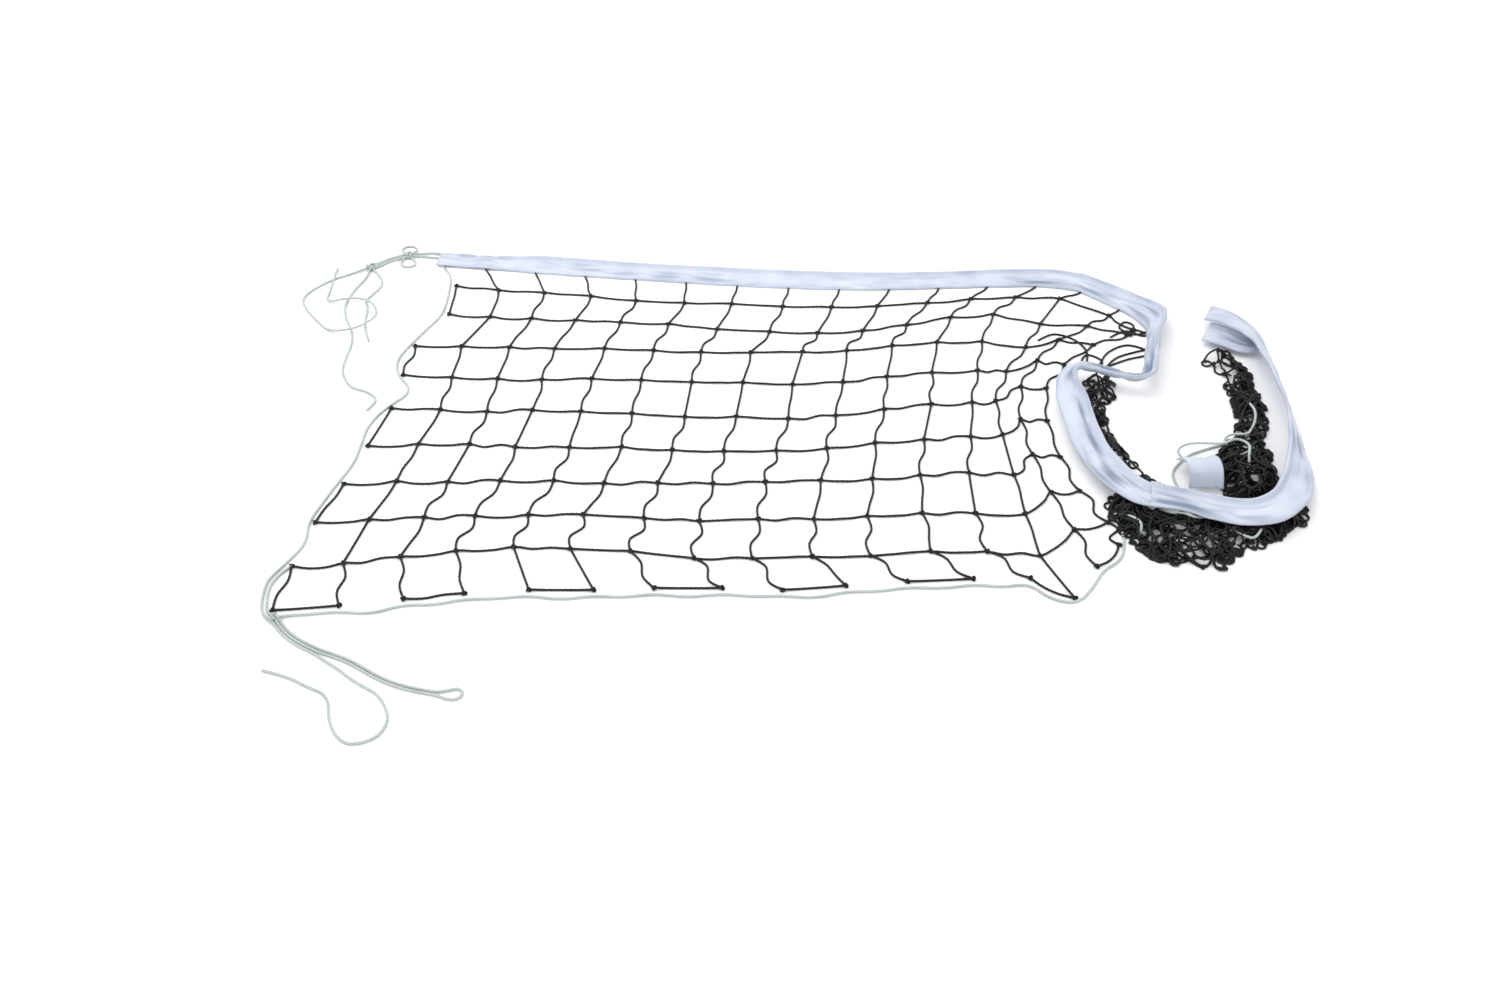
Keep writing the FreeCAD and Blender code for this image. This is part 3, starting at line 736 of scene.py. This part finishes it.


# what the folds do at one spot: how far it moves across and up, and how much painted shade its crease gets
def crumple(along, across, free, depth, gather, seed):
    moved = 0.0
    if across < -band["width"] * crumpling["pulled"]:  # outwards a little at each mesh
        moved = -crumpling["pull"] * (0.5 + 0.5 * math.cos(2 * math.pi * along / net["bar"]))
    folds = wrinkle(along, across, seed)
    phase = 2.2 * noise.noise(Vector((along / crumpling["crushLong"], seed, 1.7)))
    crush = (1 - gather) * crumpling["crush"] * abs(math.sin(across / crumpling["crushWide"] + phase))
    swaying = noise.noise(
        Vector((along / crumpling["swayLong"], across / crumpling["swayWide"], seed + 4))
    )
    sway = depth * 0.9 * max(0, swaying + 0.35)
    puff = free * depth * max(0, folds + 0.25)
    share = depth / crumpling["dark"]
    # painted shade: in the valleys between folds, in the low parts of crushed tape, and on the parts that
    # are not free to puff up (the lower layer, the hem and the sheet's edges)
    dark = 1.1 * max(0, 0.34 - folds) * free * min(1.4, share)
    dark += (1 - gather) * max(0, 0.75 - crush / crumpling["crushShade"])
    dark += 0.2 * (1 - free) * min(1, share)
    return moved, puff + sway + crush, min(1, dark)


# the smooth line through the stations' middles, and how many stations each of its places is along
def bandLine(middles):
    spacing = band["step"] / 2
    passed = []
    for number, (start, end) in enumerate(zip(middles, middles[1:])):
        pieces = max(2, math.ceil((end - start).length / spacing))
        passed += [number + i / pieces for i in range(pieces)]
    return smoothThrough(middles, spacing), passed + [len(middles) - 1]


# the direction across the tape and the share of its width that is left, between two stations
def acrossAt(found, at):
    low = min(int(at), len(found) - 2)
    share = at - low
    share = share * share * (3 - 2 * share)
    wide = found[low][1].lerp(found[low + 1][1], share).normalized()
    return wide, found[low][2] + (found[low + 1][2] - found[low][2]) * share


# square to the tape, on its upper side
def liftOf(ahead, wide, climbs):
    if not climbs:
        ahead = (ahead - wide * ahead.dot(wide)).normalized()
        ahead.z *= band["climb"]
    lifted = wide.cross(-ahead).normalized()
    return -lifted if lifted.z < 0 else lifted


# folds(along) is how deep the folds are; tape that climbs stands up with its line
def bandPiece(name, found, folds, seed, climbs):
    line, passed = bandLine([section[0] for section in found])
    outline = tapeOutline()
    around = len(outline)
    corners, creaseShades, channel, rings = [], [], [], []
    along, kept = 0.0, 0.0
    for i, here in enumerate(line):
        along += (here - line[i - 1]).length if i else 0
        if i and i < len(line) - 1 and along - kept < band["step"]:
            continue
        kept = along
        rings.append(along)
        wide, gather = acrossAt(found, passed[i])
        ahead = (line[min(i + 1, len(line) - 1)] - line[max(i - 1, 0)]).normalized()
        lifted = liftOf(ahead, wide, climbs)
        depth = folds(along)
        pinch = 1 + 0.05 * noise.noise(Vector((along / 0.05, seed, 3.3))) * min(1, depth / (2 * mm))

        def placed(across, height, free):
            moved, risen, dark = crumple(along, across, free, depth, gather, seed)
            spot = here + wide * (across * pinch * gather + moved) + lifted * (height + risen)
            return Vector((spot.x, spot.y, max(spot.z, band["least"]))), dark

        for across, height, free in outline:
            spot, dark = placed(across, height, free)
            corners.append(spot)
            creaseShades.append(dark)
        channel.append(placed(channelAcross, channelHeight, 0.3)[0])
    faces, maps = [], []
    places = [across + (layerApart if height > 0 else 0) for across, height, free in outline]
    for i in range(len(rings) - 1):
        for j in range(around):
            right = (j + 1) % around
            faces.append((
                i * around + j, (i + 1) * around + j, (i + 1) * around + right, i * around + right
            ))
            start, end = places[j], places[right]
            maps += [(rings[i], start), (rings[i + 1], start), (rings[i + 1], end), (rings[i], end)]
    for ring, turned in ((0, False), (len(rings) - 1, True)):
        cap = [ring * around + j for j in range(around)]
        faces.append(tuple(cap[::-1] if turned else cap))
        maps += [(rings[ring], across) for across, height, free in outline]
    piece = meshPiece(name, corners, faces, maps, tapeMaterial)
    # the painted crease shade, stored on each corner for the tape's material
    shade = piece.data.attributes.new("creaseShade", "FLOAT", "POINT")
    shade.data.foreach_set("value", creaseShades)
    return piece, rings[-1], channel


flatLength = lengthOf([section[0] for section in flatSections()])


# how deep the tape's folds are: shallow on the flat stretch, deep past it
def mainWrinkles(along):
    if along < flatLength - 0.25:
        wave = noise.noise(Vector((along / 0.16, 0, 7.7)))
        return (1.5 + 1.6 * max(0, wave)) * mm
    return (1.5 + 3.0 * min(1, (along - flatLength + 0.25) / 0.3)) * mm


def layTape(name, found, folds, seed, nodes, climbs=False):
    piece, length, channel = bandPiece(name, found, folds, seed, climbs)
    settle(piece, "band_tape", *nodes)
    print(name, round(length, 3), "m")
    return channel


def makeBand():
    channel = layTape(
        "headband", flatSections() + sections(turnStations), mainWrinkles, 1.0,
        ["headband_flat", "headband_shoulder", "headband_turn", "headband_return", "headband_down"],
    )
    layTape(
        "headbandFar", sections(frontStations), lambda along: 4 * mm, 3.0,
        ["headband_front", "headband_far", "headband_upper"],
    )
    layTape(
        "headbandUpperFold", sections(foldStations), lambda along: 3 * mm, 5.0,
        ["headband_upper_fold"],
    )
    layTape(
        "headbandEnd", sections(endStations), lambda along: 1.2 * mm, 8.0,
        ["headband_end"], climbs=True,
    )
    return channel


headChannel = makeBand()


# the cord in the channel of the flat stretch; it comes out of the free end and is tied there
def makeHeadCord():
    out = (headChannel[0] - headChannel[1]).normalized() * 3 * mm
    flat = [headChannel[0] + out]
    for here, following in zip(headChannel, headChannel[1:]):
        flat.append(here)
        if lengthOf(flat) + (following - here).length > flatLength:
            break
    cordPiece("headCord", [evenly(smoothThrough(flat, cord["step"]), cord["step"])], "head_cord")


makeHeadCord()

# lockstitches along the band's mesh edge
stitch = {
    "pitch": 4.2 * mm, "long": 3.2 * mm, "radius": 0.42 * mm, "inset": 6 * mm,
    "low": 2.9 * mm, "high": 3.3 * mm,  # heights of its ends and its middle
}


def makeSeam():
    edge = [place + across * stitch["inset"] for column, place, across in flatPlaces()]
    line = evenly(smoothThrough(edge, 2 * mm), stitch["pitch"])
    low, high = up * stitch["low"], up * stitch["high"]
    lines = []
    for here, following in zip(line, line[1:]):
        ahead = (following - here).normalized() * stitch["long"]
        lines.append([here + low, here + ahead * 0.5 + high, here + ahead + low])
    piece = tubePiece(
        "headbandSeam", lines, stitch["radius"], 6, lambda angle, along: 1, threadMaterial
    )
    settle(piece, "seam_thread", "headband_seam")


makeSeam()
print("seam made")

# white cords; each list repeats the places the frame's tubes follow, in millimetres from a corner
tie = {
    "axis": 2.25,
    "lift": 11.25,  # where a cord passes over another
    "knotAxis": 6.0,
    "beside": 5.5,
    "clear": 9.25,  # past a mesh knot
    "wide": 12.25,  # past a mesh knot beside which the cord turns
    "out": 55,  # from the mesh's top edge to where the ties leave the tape
    "knotRise": 3.2,
    "knotHeight": 5.7,
    "knotStations": 60,
}
lift, knotAxis = tie["lift"], tie["knotAxis"]


def route(corner, places):
    return [
        Vector((corner.x + p[0] * mm, corner.y + p[1] * mm, (p[2] if len(p) > 2 else tie["axis"]) * mm))
        for p in places
    ]


def beside(points, gap):
    moved = []
    for i, here in enumerate(points):
        ahead = points[min(i + 1, len(points) - 1)] - points[max(i - 1, 0)]
        ahead.z = 0
        moved.append(here + up.cross(ahead).normalized() * (gap * mm))
    return moved


# the line of a limp cord: a NURBS spline with the route's points as its control points
def limpLine(points):
    data = bpy.data.curves.new("route", "CURVE")
    data.dimensions = "3D"
    data.resolution_u = 16
    spline = data.splines.new("NURBS")
    spline.points.add(len(points) - 1)
    for spot, place in zip(spline.points, points):
        spot.co = (place.x, place.y, place.z, 1)
    spline.order_u = 3
    spline.use_endpoint_u = True
    probe = bpy.data.objects.new("route", data)
    mesh = bpy.data.meshes.new_from_object(probe)
    line = [corner.co.copy() for corner in mesh.vertices]
    bpy.data.objects.remove(probe)
    bpy.data.curves.remove(data)
    bpy.data.meshes.remove(mesh)
    return evenly(line, cord["step"])


def freeCord(name, points, node):
    line = limpLine(points)
    piece = cordPiece(name, [line], node)


# a knot of the white cord, at a place in mm from a corner
def tieKnot(start, place, angle, reach):
    return knotTurns(
        route(start, [place])[0], angle, reach * mm, tie["knotRise"] * mm, tie["knotHeight"] * mm,
        tie["knotStations"],
    )


edgeStart, edgeAcross = topEdge(0)
top = edgeStart + edgeAcross * (tie["out"] * mm)
bow, second = (-71, -20), (-143, -63)
trunkUpper = [(-1, -13, 3.8), (-22, -9, 3.8), (-46, -13, 3.8), (-68, -16, knotAxis)]
trunkLower = [(-2, -27), (-25, -24), (-46, -20, 3), (-68, -23, knotAxis)]
trunkOuter = [(-71, -20, knotAxis), (-90, -24), (-108, -33), (-123, -47), (-143, -63, knotAxis)]
bowUpper = [
    (-67, -15, knotAxis), (-56, -2), (-60, 13), (-75, 19), (-90, 11), (-88, -3),
    (-76, -15, knotAxis),
]
bowLower = [
    (-75, -25, knotAxis), (-84, -38), (-81, -54), (-66, -61), (-51, -53), (-53, -38),
    (-66, -25, knotAxis),
]
tailLong = [
    (-143, -63, knotAxis), (-178, -83), (-215, -104), (-245, -135), (-264, -172), (-243, -212),
    (-213, -249), (-186, -277), (-155, -290, lift), (-125, -280, lift), (-102, -256, lift),
    (-96, -224, 4), (-110, -196, lift), (-140, -181, lift), (-172, -183, lift), (-196, -186, 6),
    (-212, -175), (-211, -150), (-207, -122, lift), (-209, -90, lift), (-213, -64),
]
tailMiddle = [
    (-143, -63, knotAxis), (-142, -92), (-160, -137), (-169, -182), (-166, -214), (-154, -246),
    (-135, -283), (-127, -322), (-130, -364), (-130, -402), (-115, -436), (-97, -457), (-74, -463),
    (-50, -480), (-44, -498), (-57, -520),
]
tailShort = [
    (-143, -63, knotAxis), (-114, -96), (-106, -126), (-119, -154), (-131, -178), (-119, -208),
    (-118, -246), (-107, -288), (-96, -312),
]
bottom = knotPlace(0, net["rows"])
corner = (8, -18)
tieShared = [(8, -18, knotAxis), (20, -34), (38, -52), (58, -66), (76, -76), (93, -85)]
tieDouble = [(126, -97), (152, -110), (178, -127), (205, -142), (231, -153), (260, -161), (290, -167)]
tieEye = [(308, -158), (323, -154), (332, -164), (324, -175), (308, -175)]
tieTail = [
    (104, -100), (129, -116), (155, -137), (180, -153), (200, -164), (216, -185), (228, -212),
    (220, -240), (198, -253), (174, -256), (152, -238), (137, -209), (131, -180), (117, -162),
    (92, -152), (68, -138), (42, -128), (14, -120),
]


def makeTies():
    outer = route(top, trunkOuter)
    trunk = [
        route(top, trunkUpper), route(top, trunkLower),
        beside(outer, -tie["beside"]), outer, beside(outer, tie["beside"]),
    ]
    cordPiece("tieTrunk", [limpLine(points) for points in trunk], "tie_trunk")
    bows = [route(top, bowUpper), route(top, bowLower)]
    cordPiece("tieBowLoops", [limpLine(points) for points in bows], "tie_bow_loops")
    turns = [tieKnot(top, bow, 0.4, 8.5), tieKnot(top, second, 2.1, 11)]
    cordPiece("tieKnots", turns, "tie_knots", closed=True)
    freeCord("tieTailLong", route(top, tailLong), "tie_tail_a")
    freeCord("tieTailMiddle", route(top, tailMiddle), "tie_tail_b")
    freeCord("tieTailShort", route(top, tailShort), "tie_tail_c")
    turns = [tieKnot(bottom, corner, 1.1, 7.4)]
    cornerKnot = cordPiece("cornerTieKnot", turns, "corner_tie_knot", closed=True)
    shared = route(bottom, tieShared)
    double = shared + route(bottom, tieDouble)
    looped = beside(double, tie["beside"]) + route(bottom, tieEye) + double[::-1]
    freeCord("bottomTieLoop", looped, "bottom_tie_loop")
    single = beside(shared, -tie["beside"]) + route(bottom, tieTail)
    freeCord("bottomTieTail", single, "bottom_tie_tail")


makeTies()

# mm that the cord bows to the left below rows 1, 2, ...; less than -9 is to the right of the knots
sideBows = [2, 3, 15, -40, 14, -5, 3, -14]
sideEnd = [(-24, 66), (-25, 42), (-22, 14), (-14, -10), (0, -22, knotAxis)]
lashingPlaces = [(-16, 60), (-17, 36), (-13, 12), (-7, -6), (4, -14, knotAxis)]
# mm that the cord sags between knots, below the line that clears them
bottomSags = [2, 13, 7, 3, 9, 6, 8, 4, 10, 5, 6, 7, 14, 4, 9]
farPlaces = [
    (6.3, -2.42), (6.22, -2.12), (6.25, -1.86), (6.4, -1.66), (6.66, -1.42), (6.98, -1.28),
    (7.3, -1.16), (7.62, -1.02), (7.9, -1.0),
]


def makeEdgeCords():
    axis, clear, wide = tie["axis"] * mm, tie["clear"] * mm, tie["wide"] * mm
    edge = [knotPlace(0, row) for row in range(1, net["rows"] + 1)]
    side = [laid(0.1, 0) + Vector((0, 3 * mm, 0)), laid(0.15, 0.2), laid(0.05, 0.6)]
    for here, below, sway in zip(edge, edge[1:], sideBows):
        side.append(here + Vector((-wide, 0, 0)))
        side.append(here.lerp(below, 0.5) + Vector((-clear - sway * mm, 0, 0)))
    ninth = edge[-2]
    side.append(ninth + Vector((-clear - tie["beside"] * mm, 0, 0)))
    freeCord("sideCord", atHeight(side, axis) + route(bottom, sideEnd), "side_cord")
    lashing = [Vector((ninth.x, ninth.y, 3 * mm)), ninth + Vector((-11 * mm, -11 * mm, axis))]
    freeCord("cornerLashing", lashing + route(bottom, lashingPlaces), "corner_lashing")
    knots = [knotPlace(column, net["rows"]) for column in range(net["columns"] + 1)]
    past = beside(knots, -tie["wide"])
    low = route(bottom, [corner + (knotAxis,), (27, -10)])
    for start, end, sag in zip(past, past[1:], bottomSags):
        ahead = (end - start).normalized()
        low.append(start.lerp(end, 0.5) + ahead.cross(up) * (sag * mm) + up * axis)
        low.append(end + up * axis)
    low += atHeight([laid(15.3, 9.4), laid(15.3, 8.9)], axis)
    freeCord("bottomCord", low, "bottom_cord")
    far = [Vector((x * net["bar"], y * net["bar"], axis)) for x, y in farPlaces]
    freeCord("farCord", far, "far_cord")


makeEdgeCords()
print("cords made")

# bunched mesh: x, y in meshes, half the width in mm
bunches = {
    "inner": {
        "route": [
            (5.42, 0.7, 20), (5.4, 0.4, 24), (5.28, 0.0, 14), (5.18, -0.5, 8), (5.18, -1.0, 16),
            (5.32, -1.55, 20), (5.6, -2.05, 18), (5.9, -2.45, 12),
        ],
        "height": 22, "twine": 5, "seed": 11,
    },
    "front": {
        "route": [
            (5.2, -2.75, 20), (5.42, -3.15, 38), (5.85, -3.45, 56), (6.35, -3.52, 56),
            (6.85, -3.35, 42), (7.4, -3.2, 34), (7.95, -2.85, 30),
        ],
        "height": 25, "twine": 17, "seed": 23,
    },
    "heap": {
        "route": [(7.42, -2.4, 30), (7.52, -2.05, 44), (7.62, -1.6, 42), (7.75, -1.2, 26)],
        "height": 43, "twine": 11, "seed": 31,
    },
    "far": {
        "route": [
            (7.95, -0.75, 22), (8.05, -0.3, 20), (8.05, 0.3, 20), (8.02, 0.8, 24), (7.9, 1.25, 26),
        ],
        "height": 25, "twine": 7, "seed": 47,
    },
}


# strings of mesh that wander in loops along a bunch, with a knot every bar
wander = {
    "step": 5 * mm,
    "tightest": 8 * mm,
    "fewest": 28,
    "most": 70,
    "start": 0.8,  # share of the half width that starts are spread over
    "kept": 0.75,  # share of the half width past which a string turns home
    "floor": 1.8 * mm,
    "thinnest": 1.5 * mm,
}


def gatheredStrings(bunch):
    pick = random.Random(bunch["seed"])
    spine = [Vector((x * net["bar"], y * net["bar"], half * mm)) for x, y, half in bunch["route"]]
    spine = evenly(smoothThrough(spine, net["smooth"]), 6 * mm)
    strings, knots, made = [], [], 0.0
    while made < bunch["twine"]:
        start = spine[pick.randrange(len(spine))]
        here = Vector((start.x + start.z * pick.uniform(-wander["start"], wander["start"]), start.y, 0))
        heading, bend = pick.uniform(0, 2 * math.pi), 0.0
        level, drift, points = pick.random(), 0.0, []
        for number in range(pick.randint(wander["fewest"], wander["most"])):
            near = min(spine, key=lambda place: (place.x - here.x) ** 2 + (place.y - here.y) ** 2)
            away = Vector((here.x - near.x, here.y - near.y, 0))
            share = away.length / near.z
            bend = 0.86 * bend + pick.gauss(0, 0.11)
            if share > wander["kept"]:
                home = math.atan2(-away.y, -away.x)
                turn = (home - heading + math.pi) % (2 * math.pi) - math.pi
                bend += 0.3 * turn * (share - wander["kept"])
            limit = wander["step"] / wander["tightest"]
            bend = max(-limit, min(limit, bend))
            heading += bend
            here = here + Vector((math.cos(heading), math.sin(heading), 0)) * wander["step"]
            drift = 0.8 * drift + pick.gauss(0, 0.035)
            level = min(1, max(0, level + drift))
            roof = bunch["height"] * mm * math.sqrt(max(0.02, 1 - min(1, share * share)))
            height = wander["floor"] + level * max(wander["thinnest"], roof - 2 * wander["floor"])
            points.append(Vector((here.x, here.y, height)))
        line = evenly(smoothThrough(points, 3 * mm), strand["step"])
        line = [Vector((p.x, p.y, max(p.z, wander["floor"]))) for p in line]
        made += lengthOf(line)
        strings.append(line)
        every = int(net["bar"] / strand["step"])
        for number in range(every // 2, len(line), every):
            place = line[number]
            knots.append(knotTurns(
                place, pick.uniform(0, 6), knot["reach"], knot["rise"], max(place.z, knot["height"]),
                knot["bunchedStations"],
            ))
    return strings, knots


def makeBunches():
    for name, bunch in bunches.items():
        strings, knots = gatheredStrings(bunch)
        label = name.capitalize()
        twinePiece("gatheredMesh" + label, strings, strand["bunchedAround"], "gathered_mesh_" + name)
        knotPiece("gatheredKnots" + label, knots, knot["bunchedAround"])
        print("gathered mesh,", name, len(strings), "strings", len(knots), "knots")


makeBunches()

# twines that hang loose between the turn of the band and the return, x, y in meshes
looseTwines = [
    [(5.5, 1.05), (5.75, 1.5), (6.2, 1.75), (6.6, 1.5), (6.1, 1.3), (5.7, 1.1)],
    [(5.3, 1.2), (5.35, 1.6), (5.15, 1.95), (4.8, 2.1), (4.45, 1.9)],
    [(5.6, 1.0), (5.9, 1.35), (6.35, 1.55), (6.62, 1.62)],
    [(6.2, 2.05), (6.45, 2.35), (6.3, 2.5), (6.15, 2.3), (6.4, 2.1), (6.65, 2.15)],
    [(5.9, 2.0), (6.25, 2.2), (6.55, 2.05), (6.72, 2.1)],
    [(5.45, 0.95), (5.6, 1.25), (5.35, 1.45), (5.2, 1.2), (5.45, 1.05), (5.8, 0.9), (5.95, 0.75)],
    [(5.2, 1.0), (5.5, 1.15), (5.7, 0.95), (6.0, 0.9)],
]
# white edge cord that shows in the bunched mesh, x, y in meshes and height in mm; its ends lie inside
caughtCords = [
    [(6.74, -1.95, 8), (6.5, -1.62, 8), (6.4, -1.42, 12), (6.58, -1.3, 18), (6.85, -1.4, 30),
     (7.15, -1.55, 40), (7.4, -1.4, 42), (7.6, -1.6, 45), (7.5, -1.85, 45), (7.52, -2.05, 22)],
    [(7.5, -1.7, 14), (7.22, -1.35, 22), (7.35, -1.18, 32), (7.65, -1.28, 38), (7.8, -1.05, 30),
     (7.95, -0.8, 24), (8.05, -0.5, 26), (8.0, -0.25, 25), (8.05, 0.0, 8)],
    [(5.75, -2.9, 16), (5.85, -3.1, 25), (6.1, -3.1, 26), (6.3, -3.25, 26), (6.55, -3.1, 14)],
    [(6.85, -3.35, 10), (7.0, -3.55, 18), (7.2, -3.62, 14), (7.35, -3.45, 22), (7.45, -3.25, 8)],
    [(5.0, -2.95, 6), (5.2, -3.1, 20), (5.38, -3.3, 22), (5.3, -3.5, 12), (5.5, -3.4, 5)],
]


def makeLooseEnds():
    lines = []
    for places in looseTwines:
        points = [Vector((x * net["bar"], y * net["bar"], strand["radius"])) for x, y in places]
        lines.append(evenly(smoothThrough(points, net["smooth"]), strand["step"]))
    twinePiece("looseTwines", lines, strand["around"])
    caught = []
    for places in caughtCords:
        points = [Vector((x * net["bar"], y * net["bar"], height * mm)) for x, y, height in places]
        caught.append(limpLine(points))
    cordPiece("gatheredEdgeCord", caught)


makeLooseEnds()

# stage and light
stageSettings = {
    "floorSize": 14, "skyStrength": 0.95, "keyPower": 70, "keySize": 3.5, "keyPlace": (-1.2, 1.0, 3.2),
}


def makeStage():
    half = stageSettings["floorSize"] / 2
    mesh = bpy.data.meshes.new("floor")
    mesh.from_pydata(
        [(-half, -half, 0), (half, -half, 0), (half, half, 0), (-half, half, 0)], [], [(0, 1, 2, 3)]
    )
    mesh.materials.append(mattWhitePaper())
    floor = bpy.data.objects.new("floor", mesh)
    bpy.context.scene.collection.objects.link(floor)
    world = bpy.data.worlds.new("studio")
    world.use_nodes = True
    sky = world.node_tree.nodes["Background"]
    sky.inputs["Color"].default_value = fromHex("#fdfdff")
    sky.inputs["Strength"].default_value = stageSettings["skyStrength"]
    bpy.context.scene.world = world
    lamp = bpy.data.lights.new("softbox", "AREA")
    lamp.energy = stageSettings["keyPower"]
    lamp.size = stageSettings["keySize"]
    key = bpy.data.objects.new("softbox", lamp)
    key.location = stageSettings["keyPlace"]
    key.rotation_euler = (-key.location).to_track_quat("-Z", "Y").to_euler()  # it faces the origin
    bpy.context.scene.collection.objects.link(key)
    bpy.context.scene.view_settings.view_transform = "Standard"


makeStage()

print("done")
